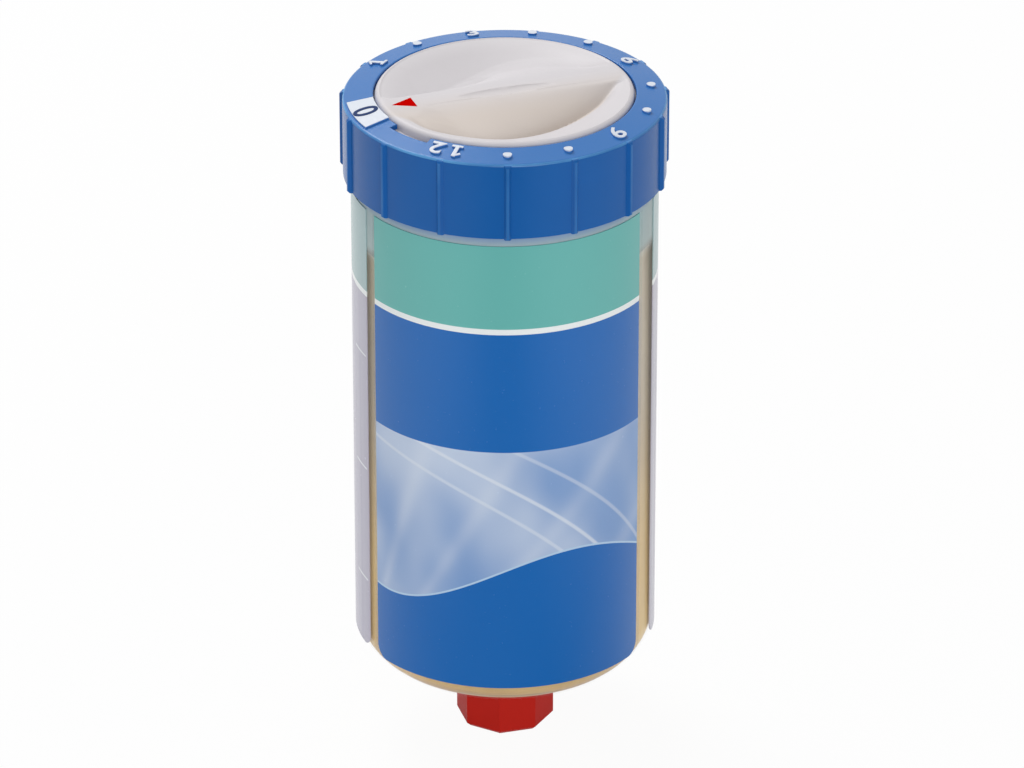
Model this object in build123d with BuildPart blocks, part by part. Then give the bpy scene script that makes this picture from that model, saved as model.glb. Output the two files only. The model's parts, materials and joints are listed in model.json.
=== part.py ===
from build123d import *
import os
from math import cos, pi, radians, sin

# Automatic lubricator: a clear grease container with an outlet thread, a piston pushed
# down by gas cells, and a ribbed top ring round a setting dial.
# Millimetres, +Z up. The origin is the centre of the closure's flat end, on which the
# lubricator stands. The front label faces -Y.

# ---- driving dimensions ----
container_radius = 25.5
container_wall = 1.8
container_base_z = 13.5
container_rim_z = 108.0
base_round = 8.3

ring_panel_radius = 26.9
ring_rib_radius = 27.5
ring_skirt_z = 103.95
ring_outer_z = 117.2
ring_inner_z = 118.1

dial_radius = 21.5
dial_flange_radius = 23.1
dial_rim_z = 118.5
dial_under_z = 112.9
dish_radius = 20.0
dish_depth = 4.3

dial_positions = 15
dial_step = 360 / dial_positions
zero_angle = 199.0
mark_radius = 24.4
numeral_marks = (2, 4, 7, 10, 13)
first_mark = 2
last_mark = 13

outlet_core_radius = 5.72
outlet_bore_radius = 2.5
closure_across_flats = 15.45
closure_height = 12.9
closure_bore_radius = 6.62
closure_corner_angle = 38.5

grease_top_z = 96.9
piston_clearance = 0.25
label_thickness = 0.15
label_bottom_z = 19.2
label_top_z = 101.9
front_label_angle = -88.0
front_label_half_angle = 60.5
back_label_angle = 95.25
back_label_half_angle = 111.25

# ---- dimensions that follow from them ----
bore_radius = container_radius - container_wall
floor_z = container_base_z + container_wall
inner_round = base_round - container_wall
seal_radius = 0.68
seal_groove_depth = 1.2
piston_radius = bore_radius - piston_clearance
piston_round = inner_round - piston_clearance
piston_base_z = grease_top_z - piston_round
closure_circumradius = closure_across_flats / 2 / cos(pi / 8)
ring_bore_radius = dial_radius + 0.25
FLAT = (Align.CENTER, Align.CENTER, Align.MIN)
HANG = (Align.CENTER, Align.CENTER, Align.MAX)

os.makedirs("parts", exist_ok=True)


def save(builder, name):
    builder.part.label = name
    export_step(builder.part, f"parts/{name}.step")


def mark_angle(position):
    return zero_angle - dial_step * position


def around(radius, angle):
    return (radius * cos(radians(angle)), radius * sin(radians(angle)))


def ring_top_height(radius):
    """Height of the ring's sloping top face at a radius."""
    slope = (ring_inner_z - ring_outer_z) / (ring_panel_radius - ring_bore_radius)
    return ring_inner_z - slope * (radius - ring_bore_radius)


def o_ring(centre_radius, centre_z):
    """A round sealing ring, lying in its groove."""
    with BuildPart() as seal:
        with Locations((0, 0, centre_z)):
            Torus(centre_radius, seal_radius)
    return seal


# ---- container: one clear moulding with a rounded base and the outlet spigot ----
spigot_end_z = 2.8
seat_thickness = 0.6
seat_radius = 8.2
funnel_depth = 1.2
funnel_flare = 1.8
spigot_chamfer = 0.5
bead_z = 106.6
bead_rise = 0.4
bead_root = container_radius - 0.2

with BuildPart() as container:
    with Locations((0, 0, container_base_z)):
        Cylinder(container_radius, container_rim_z - container_base_z, align=FLAT)
    fillet(container.edges().sort_by(Axis.Z)[0], base_round)
    offset(amount=-container_wall, openings=container.faces().sort_by(Axis.Z)[-1])
    with BuildSketch(Plane.XZ):
        # snap bead under the ring
        with BuildLine():
            Polyline(
                (bead_root, bead_z - 0.7),
                (container_radius, bead_z - 0.7),
                (container_radius + bead_rise, bead_z - 0.2),
                (container_radius + bead_rise, bead_z + 0.1),
                (container_radius, bead_z + 0.9),
                (bead_root, bead_z + 0.9),
                close=True,
            )
        make_face()
    revolve(axis=Axis.Z)
    with Locations((0, 0, container_base_z - seat_thickness)):
        Cylinder(seat_radius, seat_thickness + 0.5, align=FLAT)
    with Locations((0, 0, spigot_end_z)):
        Cylinder(outlet_core_radius, container_base_z - spigot_end_z + 0.5, align=FLAT)
        Cylinder(outlet_bore_radius, floor_z, align=FLAT, mode=Mode.SUBTRACT)
    spigot_end = container.faces().sort_by(Axis.Z)[0]
    chamfer(spigot_end.edges().sort_by(SortBy.RADIUS)[-1], spigot_chamfer)
    # the floor funnels into the outlet
    with Locations((0, 0, floor_z - funnel_depth)):
        Cone(
            outlet_bore_radius,
            outlet_bore_radius + funnel_flare,
            funnel_depth,
            align=FLAT,
            mode=Mode.SUBTRACT,
        )
save(container, "container")

# ---- closure: eight-sided screw cap on the outlet, with its sealing disc ----
closure_floor = 1.6
closure_lower_chamfer = 0.7
closure_upper_chamfer = 0.3
closure_seal_radius = closure_bore_radius - 0.3

with BuildPart() as closure_cap:
    with BuildSketch():
        RegularPolygon(closure_circumradius, 8, rotation=closure_corner_angle)
    extrude(amount=closure_height)
    chamfer(closure_cap.faces().sort_by(Axis.Z)[0].edges(), closure_lower_chamfer)
    chamfer(closure_cap.faces().sort_by(Axis.Z)[-1].edges(), closure_upper_chamfer)
    with Locations((0, 0, closure_floor)):
        Cylinder(closure_bore_radius, closure_height, align=FLAT, mode=Mode.SUBTRACT)
save(closure_cap, "closure_cap")

with BuildPart() as closure_seal:
    with Locations((0, 0, closure_floor)):
        Cylinder(closure_seal_radius, spigot_end_z - closure_floor - 0.05, align=FLAT)
    fillet(closure_seal.edges(), 0.2)
save(closure_seal, "closure_seal")

# ---- grease charge: fills the container and the outlet below the piston ----
grease_gap = 0.1
grease_base_z = floor_z + 0.05
grease_radius = bore_radius - grease_gap
grease_round = inner_round - 0.05
grease_centre_top = piston_base_z - 0.05
plug_radius = outlet_bore_radius - grease_gap
plug_end_z = spigot_end_z + 0.1

with BuildPart() as grease_charge:
    with BuildSketch(Plane.XZ):
        with BuildLine():
            Polyline(
                (0, grease_centre_top),
                (0, plug_end_z),
                (plug_radius, plug_end_z),
                (plug_radius, grease_base_z),
                (grease_radius - grease_round, grease_base_z),
            )
            RadiusArc(
                (grease_radius - grease_round, grease_base_z),
                (grease_radius, grease_base_z + grease_round),
                -grease_round,
            )
            Polyline(
                (grease_radius, grease_base_z + grease_round),
                (grease_radius, grease_top_z),
                (piston_radius + 0.05, grease_top_z),
            )
            RadiusArc(
                (piston_radius + 0.05, grease_top_z),
                (piston_radius - piston_round, grease_centre_top),
                piston_round + 0.05,
            )
            Line((piston_radius - piston_round, grease_centre_top), (0, grease_centre_top))
        make_face()
    revolve(axis=Axis.Z)
save(grease_charge, "grease_charge")

# ---- piston: a cup whose base matches the container's, with a seal groove ----
piston_top_z = 101.2
piston_skin = 1.6
groove_z = 98.9
groove_half_height = 1.0
piston_land = 2.7
cup_round = 4.2
boss_radius = 3.2
boss_height = 5.0
stiffener_count = 6
stiffener_length = 19.0
stiffener_centre = 11.0
stiffener_width = 1.1
stiffener_height = 3.3
overlap = 0.1

with BuildPart() as piston:
    with Locations((0, 0, piston_base_z)):
        Cylinder(piston_radius, piston_top_z - piston_base_z, align=FLAT)
    fillet(piston.edges().sort_by(Axis.Z)[0], piston_round)
    with BuildSketch(Plane.XZ):
        # hollow, open to the gas side
        with BuildLine():
            cup_radius = piston_radius - piston_land
            cup_floor = piston_base_z + piston_skin
            Polyline(
                (0, piston_top_z + 1),
                (cup_radius, piston_top_z + 1),
                (cup_radius, cup_floor + cup_round),
            )
            RadiusArc(
                (cup_radius, cup_floor + cup_round),
                (cup_radius - cup_round, cup_floor),
                cup_round,
            )
            Polyline((cup_radius - cup_round, cup_floor), (0, cup_floor), (0, piston_top_z + 1))
        make_face()
    revolve(axis=Axis.Z, mode=Mode.SUBTRACT)
    with BuildSketch(Plane.XZ):
        with Locations((piston_radius, groove_z)):
            Rectangle(2 * seal_groove_depth, 2 * groove_half_height)
    revolve(axis=Axis.Z, mode=Mode.SUBTRACT)
    with Locations((0, 0, cup_floor - overlap)):
        Cylinder(boss_radius, boss_height + overlap, align=FLAT)
    with BuildSketch(Plane.XY.offset(cup_floor - overlap)):
        with PolarLocations(stiffener_centre, stiffener_count):
            Rectangle(stiffener_length, stiffener_width)
    extrude(amount=stiffener_height + overlap)
save(piston, "piston")

piston_seal = o_ring(piston_radius - seal_groove_depth + seal_radius + 0.03, groove_z)
save(piston_seal, "piston_seal")

# ---- cell carrier: closes the container and holds the gas cells ----
carrier_base_z = 101.7
carrier_floor = 1.2
carrier_radius = bore_radius - 0.2
carrier_bore = 21.0
carrier_flange_z = container_rim_z
carrier_top_z = 109.4
carrier_flange_radius = 25.4
seal_groove_z = 105.0
cell_offset = 8.5
cell_radius = 5.8
cell_seat_z = carrier_base_z + carrier_floor
strip_thickness = 0.3
board_z = 109.0
board_thickness = 1.0
post_circle_radius = 19.0
post_radius = 1.3
strip_width = 8.0
cell_play = 0.15
seat_wall = 1.0
seat_height = 2.9
port_y = 13.0
port_radius = 1.0
membrane_radius = 3.0
membrane_thickness = 0.45
membrane_play = 0.1
membrane_recess = 0.5

with BuildPart() as cell_carrier:
    with Locations((0, 0, carrier_base_z)):
        Cylinder(carrier_radius, carrier_top_z - carrier_base_z, align=FLAT)
    with Locations((0, 0, carrier_flange_z)):
        Cylinder(carrier_flange_radius, carrier_top_z - carrier_flange_z, align=FLAT)
    with Locations((0, 0, cell_seat_z)):
        Cylinder(carrier_bore, 20, align=FLAT, mode=Mode.SUBTRACT)
    with BuildSketch(Plane.XZ):
        with Locations((carrier_radius, seal_groove_z)):
            Rectangle(2 * seal_groove_depth, 2 * groove_half_height)
    revolve(axis=Axis.Z, mode=Mode.SUBTRACT)
    # round seats for the two cells, open along the contact strip
    with BuildSketch(Plane.XY.offset(cell_seat_z - overlap)):
        with Locations((-cell_offset, 0), (cell_offset, 0)):
            Circle(cell_radius + cell_play + seat_wall)
        with Locations((-cell_offset, 0), (cell_offset, 0)):
            Circle(cell_radius + cell_play, mode=Mode.SUBTRACT)
        Rectangle(2 * cell_offset, strip_width + 0.6, mode=Mode.SUBTRACT)
    extrude(amount=seat_height + overlap)
    # posts under the circuit board
    with BuildSketch(Plane.XY.offset(cell_seat_z - overlap)):
        with PolarLocations(post_circle_radius, 3, start_angle=30):
            Circle(post_radius)
    extrude(amount=board_z - cell_seat_z + overlap)
    # gas port with a recess for its membrane
    with Locations((0, port_y, cell_seat_z)):
        Cylinder(
            membrane_radius + membrane_play,
            membrane_recess,
            align=HANG,
            mode=Mode.SUBTRACT,
        )
        Cylinder(port_radius, 2 * carrier_floor, align=HANG, mode=Mode.SUBTRACT)
save(cell_carrier, "cell_carrier")

container_seal = o_ring(carrier_radius - seal_groove_depth + seal_radius + 0.02, seal_groove_z)
save(container_seal, "container_seal")

with BuildPart() as gas_membrane:
    with Locations((0, port_y, cell_seat_z - membrane_recess)):
        Cylinder(membrane_radius, membrane_thickness, align=FLAT)
save(gas_membrane, "gas_membrane")

# ---- gas cells, their contacts and the board that sets the gas rate ----
with BuildPart() as contact_strip:
    with BuildSketch(Plane.XY.offset(cell_seat_z)):
        SlotCenterToCenter(2 * cell_offset, strip_width)
    extrude(amount=strip_thickness)
save(contact_strip, "contact_strip")

cell_base_z = cell_seat_z + strip_thickness
cell_height = 5.4
cap_height = 0.8
cap_inset = 1.2
can_round = 0.6
cap_chamfer = 0.3
for side, name in ((-1, "gas_cell_left"), (1, "gas_cell_right")):
    with BuildPart() as gas_cell:
        with Locations((side * cell_offset, 0, cell_base_z)):
            Cylinder(cell_radius, cell_height - cap_height, align=FLAT)
            Cylinder(cell_radius - cap_inset, cell_height, align=FLAT)
        fillet(gas_cell.edges().group_by(Axis.Z)[0], can_round)
        chamfer(gas_cell.edges().group_by(Axis.Z)[-1], cap_chamfer)
    save(gas_cell, name)

touch_gap = 0.02
contact_foot_z = cell_base_z + cell_height + touch_gap
contact_crown_z = board_z - touch_gap
contact_width = 3.0
contact_half_span = 3.0
contact_inner_span = 2.6
contact_leaf = 0.15

with BuildPart() as cell_contacts:
    # two bowed leaves between the cells and the board
    for side in (-1, 1):
        with BuildSketch(Plane.XZ.offset(-contact_width / 2)):
            with BuildLine():
                middle = side * cell_offset
                ThreePointArc(
                    (middle - contact_half_span, contact_foot_z),
                    (middle, contact_crown_z),
                    (middle + contact_half_span, contact_foot_z),
                )
                Line(
                    (middle + contact_half_span, contact_foot_z),
                    (middle + contact_inner_span, contact_foot_z),
                )
                ThreePointArc(
                    (middle + contact_inner_span, contact_foot_z),
                    (middle, contact_crown_z - contact_leaf),
                    (middle - contact_inner_span, contact_foot_z),
                )
                Line(
                    (middle - contact_inner_span, contact_foot_z),
                    (middle - contact_half_span, contact_foot_z),
                )
            make_face()
        extrude(amount=contact_width)
save(cell_contacts, "cell_contacts")

board_radius = 20.6
board_hole_radius = 3.3
board_key_width = 3.0
board_key_depth = 1.2
resistor_circle_radius = 16.6
resistor_lead_angle = 4.0

with BuildPart() as circuit_board:
    with BuildSketch(Plane.XY.offset(board_z)):
        Circle(board_radius)
        Circle(board_hole_radius, mode=Mode.SUBTRACT)
        with Locations(around(board_radius, 90)):
            Rectangle(board_key_width, 2 * board_key_depth, mode=Mode.SUBTRACT)
    extrude(amount=board_thickness)
save(circuit_board, "circuit_board")

with BuildPart() as resistors:
    # one chip under the board for each numbered position
    with BuildSketch(Plane.XY.offset(board_z)):
        for position in range(first_mark, last_mark + 1):
            chip_angle = mark_angle(position) - resistor_lead_angle
            with PolarLocations(resistor_circle_radius, 1, start_angle=chip_angle):
                Rectangle(1.6, 3.0)
    extrude(amount=-0.6)
save(resistors, "resistors")

# ---- bearing deck: carries the dial's stem, its seal and the click spring ----
deck_under_z = 111.0
deck_top_z = 112.5
deck_rim_inner = 23.9
deck_rim_top_z = 115.6
stem_radius = 4.0
stem_bore_radius = stem_radius + 0.05
deck_skirt_wall = 0.6
hub_radius = 6.0
hub_depth = 0.4
dial_seal_radius = 19.9
dial_seal_width = 1.4
dial_seal_height = 1.2
dial_groove_width = 1.6
dial_groove_depth = 0.9

with BuildPart() as bearing_deck:
    with Locations((0, 0, carrier_top_z)):
        Cylinder(carrier_flange_radius, deck_rim_top_z - carrier_top_z, align=FLAT)
    with Locations((0, 0, deck_top_z)):
        Cylinder(deck_rim_inner, deck_rim_top_z, align=FLAT, mode=Mode.SUBTRACT)
    with Locations((0, 0, deck_under_z)):
        Cylinder(
            deck_rim_inner - deck_skirt_wall,
            deck_under_z,
            align=HANG,
            mode=Mode.SUBTRACT,
        )
        Cylinder(hub_radius, hub_depth, align=HANG)
    with BuildSketch(Plane.XY.offset(deck_top_z)):
        Circle(dial_seal_radius + dial_groove_width / 2)
        Circle(dial_seal_radius - dial_groove_width / 2, mode=Mode.SUBTRACT)
    extrude(amount=-dial_groove_depth, mode=Mode.SUBTRACT)
    with Locations((0, 0, deck_top_z)):
        Cylinder(stem_bore_radius, 6, align=HANG, mode=Mode.SUBTRACT)
save(bearing_deck, "bearing_deck")

with BuildPart() as dial_seal:
    with BuildSketch(Plane.XZ):
        with Locations((dial_seal_radius, deck_top_z - dial_groove_depth)):
            Rectangle(dial_seal_width, dial_seal_height, align=(Align.CENTER, Align.MIN))
    revolve(axis=Axis.Z)
    chamfer(dial_seal.edges().group_by(Axis.Z)[-1], 0.35)
save(dial_seal, "dial_seal")

# ---- click spring: a bowed leaf that rides in the track under the dial ----
track_radius = 15.9
track_half_width = 1.9
track_top_z = 114.1
leaf = 0.25
leaf_width = 1.6
spring_end = 5.2
spring_foot = 3.6
spring_shoulder = 1.0
shoulder_z = track_top_z - 0.65
nose_z = track_top_z - 0.1

with BuildPart() as click_spring:
    with BuildSketch(Plane.XZ.offset(-track_radius + 0.5)):
        with BuildLine():
            Polyline(
                (-spring_end, deck_top_z),
                (-spring_foot, deck_top_z),
                (-spring_shoulder, shoulder_z),
                (0, nose_z - leaf),
                (spring_shoulder, shoulder_z),
                (spring_foot, deck_top_z),
                (spring_end, deck_top_z),
                (spring_end, deck_top_z + leaf),
                (spring_foot + 0.1, deck_top_z + leaf),
                (spring_shoulder + 0.1, shoulder_z + leaf),
                (0.3, nose_z),
                (-0.3, nose_z),
                (-spring_shoulder - 0.1, shoulder_z + leaf),
                (-spring_foot - 0.1, deck_top_z + leaf),
                (-spring_end, deck_top_z + leaf),
                close=True,
            )
        make_face()
    extrude(amount=-leaf_width)
save(click_spring, "click_spring")

# ---- top ring: ribbed blue ring with marks, zero pad and the pry notch ----
edge_round = 0.5
rib_crest = 0.4
rib_foot = 1.2
rib_top_chamfer = 0.5
rib_foot_chamfer = 0.3
inner_edge_round = 0.25
catch_depth = 0.35
rib_root = 0.4
rib_overhang = 0.15
mark_rise = 0.4
dot_radius = 0.75
pad_arc = 22
pad_inner = ring_bore_radius + 0.2
pad_outer = ring_panel_radius - 0.6
notch_angle = 226.5
notch_arc = 21
skirt_bore = container_radius + 0.25
retainer_bore = dial_flange_radius + 0.3

with BuildPart() as rib:
    with BuildSketch(Plane.XY.offset(ring_skirt_z - rib_overhang)):
        with BuildLine():
            Polyline(
                (ring_panel_radius - rib_root, -rib_foot / 2),
                (ring_panel_radius, -rib_foot / 2),
                (ring_rib_radius, -rib_crest / 2),
                (ring_rib_radius, rib_crest / 2),
                (ring_panel_radius, rib_foot / 2),
                (ring_panel_radius - rib_root, rib_foot / 2),
                close=True,
            )
        make_face()
    extrude(amount=ring_outer_z - ring_skirt_z + rib_overhang - 0.05)
    crest = rib.faces().sort_by(Axis.X)[-1]
    chamfer(crest.edges().sort_by(Axis.Z)[-1], rib_top_chamfer)
    crest = rib.faces().sort_by(Axis.X)[-1]
    chamfer(crest.edges().sort_by(Axis.Z)[0], rib_foot_chamfer)

with BuildPart() as top_ring:
    with BuildSketch(Plane.XZ):
        with BuildLine():
            Polyline(
                (skirt_bore, ring_skirt_z),
                (ring_panel_radius, ring_skirt_z),
                (ring_panel_radius, ring_outer_z),
                (ring_bore_radius, ring_inner_z),
                (ring_bore_radius, ring_inner_z - 1.0),
                (retainer_bore, ring_inner_z - 1.1),
                (retainer_bore, deck_rim_top_z + 0.05),
                (skirt_bore, deck_rim_top_z + 0.05),
                (skirt_bore, bead_z + 1.3),
                (skirt_bore + catch_depth, bead_z + 0.6),
                (skirt_bore + catch_depth, bead_z - 0.5),
                (skirt_bore, bead_z - 1.0),
                close=True,
            )
        make_face()
    revolve(axis=Axis.Z)
    circles = top_ring.edges().filter_by(GeomType.CIRCLE)
    outer_edge = circles.filter_by_position(Axis.Z, ring_outer_z - 0.01, ring_outer_z + 0.01)
    fillet(outer_edge, edge_round)
    inner_edge = circles.filter_by_position(Axis.Z, ring_inner_z - 0.01, ring_inner_z + 0.01)
    fillet(inner_edge, inner_edge_round)
    with PolarLocations(0, dial_positions, start_angle=zero_angle):
        add(rib.part)
    # notch in the inner edge, where the dial is prised out
    with BuildSketch(Plane.XZ.rotated((0, 0, notch_angle - notch_arc / 2))):
        with Locations((ring_bore_radius, ring_inner_z)):
            Rectangle(2 * (retainer_bore - ring_bore_radius) - 0.2, 4)
    revolve(axis=Axis.Z, revolution_arc=notch_arc, mode=Mode.SUBTRACT)
    # raised pad under the zero
    with BuildSketch(Plane.XZ.rotated((0, 0, zero_angle - pad_arc / 2))):
        with BuildLine():
            Polyline(
                (pad_inner, ring_top_height(pad_inner) - 0.5),
                (pad_outer, ring_top_height(pad_outer) - 0.5),
                (pad_outer, ring_top_height(pad_outer) + mark_rise),
                (pad_inner, ring_top_height(pad_inner) + mark_rise),
                close=True,
            )
        make_face()
    revolve(axis=Axis.Z, revolution_arc=pad_arc)
    # raised dots at the positions that carry no numeral; the one beside zero stays bare
    for position in range(first_mark, last_mark + 1):
        if position not in numeral_marks:
            with Locations((*around(mark_radius, mark_angle(position)), ring_inner_z - 1)):
                Cylinder(dot_radius, 1 + mark_rise - 0.45, align=FLAT)
save(top_ring, "top_ring")

# ---- setting dial: dished disc with a lens-shaped finger bar along its pointer line ----
pointer = Plane(origin=(0, 0, dial_rim_z), x_dir=(*around(1, zero_angle), 0), z_dir=(0, 0, 1))
dish_sphere = (dish_radius**2 + dish_depth**2) / (2 * dish_depth)
flange_top_z = ring_inner_z - 1.3
stem_step_z = 110.6
stem_end_z = 108.7
stem_end_radius = 2.6
stem_root = 0.5
rim_round = 1.0
pocket_top_z = 116.3
pocket_half_length = 12.0
pocket_half_width = 7.5
click_pocket_length = 2.6
click_pocket_width = 1.2
click_pocket_depth = 0.4
scoop_depth = 0.45
scoop_radius = 7.0
scoop_reach = 9.0
arrow_tip = 19.6
arrow_back = 15.8
arrow_half_width = 1.8
inlay_depth = 0.9
# the bar's flat crest, and how far its flank reaches at each place along the pointer line
crest_half_width = 2.9
flank_feet = {-20.5: 3.3, -10: 8.8, 0: 13.0, 10: 13.0, 20.5: 3.3}
bar_root = dish_depth + 1.2


def dish_drop(along, across):
    """Depth of the dish below the rim at a place on the dial."""
    reach_squared = min(along**2 + across**2, dish_radius**2)
    return dish_depth - dish_sphere + (dish_sphere**2 - reach_squared) ** 0.5


def flank(along, side):
    """One flank of the bar: from the crest it bulges, then turns down into the dish."""
    foot = flank_feet[side * along]
    drop = dish_drop(along, foot) + 0.4
    Bezier(
        (side * crest_half_width, 0),
        (side * (foot - 0.4), -drop / 2),
        (side * foot, -drop),
    )
    Line((side * foot, -drop), (side * foot, -bar_root))


with BuildPart() as finger_bar:
    # both flanks have the same shape, one turned half round from the other
    for along in flank_feet:
        section = Plane(
            origin=pointer.from_local_coords((along, 0, 0)),
            x_dir=pointer.y_dir,
            z_dir=pointer.x_dir,
        )
        with BuildSketch(section):
            with BuildLine():
                Line((-crest_half_width, 0), (crest_half_width, 0))
                flank(along, 1)
                flank(along, -1)
                Line((-flank_feet[-along], -bar_root), (flank_feet[along], -bar_root))
            make_face()
    loft()

with BuildPart() as dish:
    with Locations((0, 0, dial_rim_z - dish_depth + dish_sphere)):
        Sphere(dish_sphere)
    add(finger_bar.part, mode=Mode.SUBTRACT)

with BuildPart() as crest_scoop:
    # shallow trough along the top of the bar
    with BuildSketch(Plane(origin=pointer.origin, x_dir=pointer.x_dir, z_dir=-pointer.y_dir)):
        with BuildLine():
            axis_height = scoop_radius - scoop_depth
            ThreePointArc((-scoop_reach, 0), (0, -scoop_depth), (scoop_reach, 0))
            Polyline(
                (scoop_reach, 0),
                (scoop_reach, axis_height),
                (-scoop_reach, axis_height),
                (-scoop_reach, 0),
            )
        make_face()
    revolve(axis=Axis((0, 0, dial_rim_z + axis_height), pointer.x_dir))

with BuildPart() as dial_body:
    with Locations((0, 0, dial_under_z)):
        Cylinder(dial_flange_radius, flange_top_z - dial_under_z, align=FLAT)
        Cylinder(dial_radius, dial_rim_z - dial_under_z, align=FLAT)
    fillet(dial_body.edges().group_by(Axis.Z)[-1], rim_round)
    add(dish.part, mode=Mode.SUBTRACT)
    add(crest_scoop.part, mode=Mode.SUBTRACT)
    # moulded pocket under the bar
    with BuildSketch(Plane(origin=(0, 0, dial_under_z), x_dir=pointer.x_dir, z_dir=(0, 0, 1))):
        Ellipse(pocket_half_length, pocket_half_width)
    extrude(amount=pocket_top_z - dial_under_z, mode=Mode.SUBTRACT)
    # stem, and its smaller end for the wiper
    with Locations((0, 0, pocket_top_z + stem_root)):
        Cylinder(stem_radius, pocket_top_z + stem_root - stem_step_z, align=HANG)
        Cylinder(stem_end_radius, pocket_top_z + stem_root - stem_end_z, align=HANG)
    # track for the click spring, with a pocket at each position
    with BuildSketch(Plane.XY.offset(dial_under_z)):
        Circle(track_radius + track_half_width)
        Circle(track_radius - track_half_width, mode=Mode.SUBTRACT)
    extrude(amount=track_top_z - dial_under_z, mode=Mode.SUBTRACT)
    with BuildSketch(Plane.XY.offset(track_top_z)):
        with PolarLocations(track_radius, dial_positions, start_angle=90):
            Rectangle(click_pocket_length, click_pocket_width)
    extrude(amount=click_pocket_depth, mode=Mode.SUBTRACT)

with BuildPart() as pointer_inlay:
    with BuildSketch(pointer.offset(-inlay_depth)):
        with BuildLine():
            Polyline(
                (arrow_tip, 0),
                (arrow_back, arrow_half_width),
                (arrow_back, -arrow_half_width),
                close=True,
            )
        make_face()
    extrude(amount=2 * inlay_depth)
    add(dial_body.part, mode=Mode.INTERSECT)
save(pointer_inlay, "pointer_inlay")

with BuildPart() as setting_dial:
    add(dial_body.part)
    add(pointer_inlay.part, mode=Mode.SUBTRACT)
save(setting_dial, "setting_dial")

# ---- wiper: spring arm on the stem that picks a resistor on the board ----
wiper_z = 110.1
wiper_thickness = 0.35
wiper_reach = 17.4
wiper_width = 3.0
wiper_eye_radius = 5.4
wiper_slot_length = 9.0
wiper_slot_width = 0.9

with BuildPart() as wiper_contact:
    with BuildSketch(Plane(origin=(0, 0, wiper_z), x_dir=-pointer.x_dir, z_dir=(0, 0, 1))):
        Circle(wiper_eye_radius)
        Rectangle(wiper_reach, wiper_width, align=(Align.MIN, Align.CENTER))
        Circle(stem_end_radius + 0.01, mode=Mode.SUBTRACT)
        with Locations((11, 0)):
            SlotOverall(wiper_slot_length, wiper_slot_width, mode=Mode.SUBTRACT)
    extrude(amount=wiper_thickness)
save(wiper_contact, "wiper_contact")

# ---- labels: two printed skins on the container ----


def label_skin(centre_angle, half_angle):
    """A thin skin on the container wall, with rounded lower corners."""
    with BuildPart() as skin:
        with BuildSketch(Plane.XZ.rotated((0, 0, centre_angle - half_angle))):
            with Locations((container_radius, label_bottom_z)):
                Rectangle(
                    label_thickness,
                    label_top_z - label_bottom_z,
                    align=(Align.MIN, Align.MIN),
                )
        revolve(axis=Axis.Z, revolution_arc=2 * half_angle)
        corners = skin.edges().filter_by(GeomType.LINE).filter_by(Axis.Z, reverse=True)
        fillet(corners.filter_by_position(Axis.Z, label_bottom_z - 1, label_bottom_z + 1), 2.2)
    return skin


save(label_skin(front_label_angle, front_label_half_angle), "label_front")
save(label_skin(back_label_angle, back_label_half_angle), "label_back")
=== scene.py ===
import json
from math import atan2, cos, hypot, pi, radians, sin, sqrt

import bpy
from mathutils import Matrix, Vector


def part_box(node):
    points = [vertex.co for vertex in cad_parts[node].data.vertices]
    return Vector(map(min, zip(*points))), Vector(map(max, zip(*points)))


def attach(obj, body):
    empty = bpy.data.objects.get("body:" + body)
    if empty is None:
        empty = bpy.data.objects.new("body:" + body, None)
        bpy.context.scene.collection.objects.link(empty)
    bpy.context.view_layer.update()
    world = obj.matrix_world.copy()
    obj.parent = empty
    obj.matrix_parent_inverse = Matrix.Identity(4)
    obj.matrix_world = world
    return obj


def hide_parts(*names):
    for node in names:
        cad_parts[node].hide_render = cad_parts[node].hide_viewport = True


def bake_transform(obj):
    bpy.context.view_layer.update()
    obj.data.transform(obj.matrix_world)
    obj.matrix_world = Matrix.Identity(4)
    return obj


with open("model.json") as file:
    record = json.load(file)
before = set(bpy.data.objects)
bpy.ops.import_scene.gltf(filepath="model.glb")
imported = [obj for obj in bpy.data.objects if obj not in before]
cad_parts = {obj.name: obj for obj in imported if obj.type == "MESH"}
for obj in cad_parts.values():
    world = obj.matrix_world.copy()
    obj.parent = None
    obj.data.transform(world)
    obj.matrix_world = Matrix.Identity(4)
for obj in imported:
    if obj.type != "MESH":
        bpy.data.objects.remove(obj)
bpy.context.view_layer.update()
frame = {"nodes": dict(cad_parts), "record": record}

MM = 0.001

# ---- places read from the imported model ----
dial_low, dial_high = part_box("setting_dial")
label_low, label_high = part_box("label_front")
grease_low, grease_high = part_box("grease_charge")
outlet_end = [m for m in frame["record"]["mounts"] if m["name"] == "outlet_thread"][0]["pos_m"][2]

# ---- sizes of the container and its grease, in millimetres ----
WALL_RADIUS = 25.5
BASE_Z = 13.5
BASE_ROUND = 8.3
UNDERSIDE_RISE = 7.0
SEAT_UNDER_Z = 12.9
OUTLET_BORE = 2.4
FILM_GAP = 0.3
RIM_INSET = 0.45
FILL_DROP = 3.4
PISTON_CORNER = 6.3
PISTON_CORNER_AT = 17.15

# ---- sizes of the ring and its marks; angles are in degrees ----
PANEL_RADIUS = 26.9
RIB_RADIUS = 27.5
RING_OUTER_Z = 117.2
RING_INNER_Z = 118.1
RING_BORE = 21.75
RING_SLOPE = (RING_INNER_Z - RING_OUTER_Z) / (PANEL_RADIUS - RING_BORE)
MARK_RISE = 0.4
ZERO_ANGLE = 199.0
DIAL_STEP = 24.0
FIGURE_SPREAD = 8.0

# ---- sizes of the outlet thread ----
THREAD_RADIUS = 6.58
THREAD_PITCH = 1.337
RIDGE_DEPTH = 1.0
RIDGE_FOOT = 1.15
RIDGE_CREST_SHARE = 0.16
RIDGE_TURNS = 8
RIDGE_STEPS = 48

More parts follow.
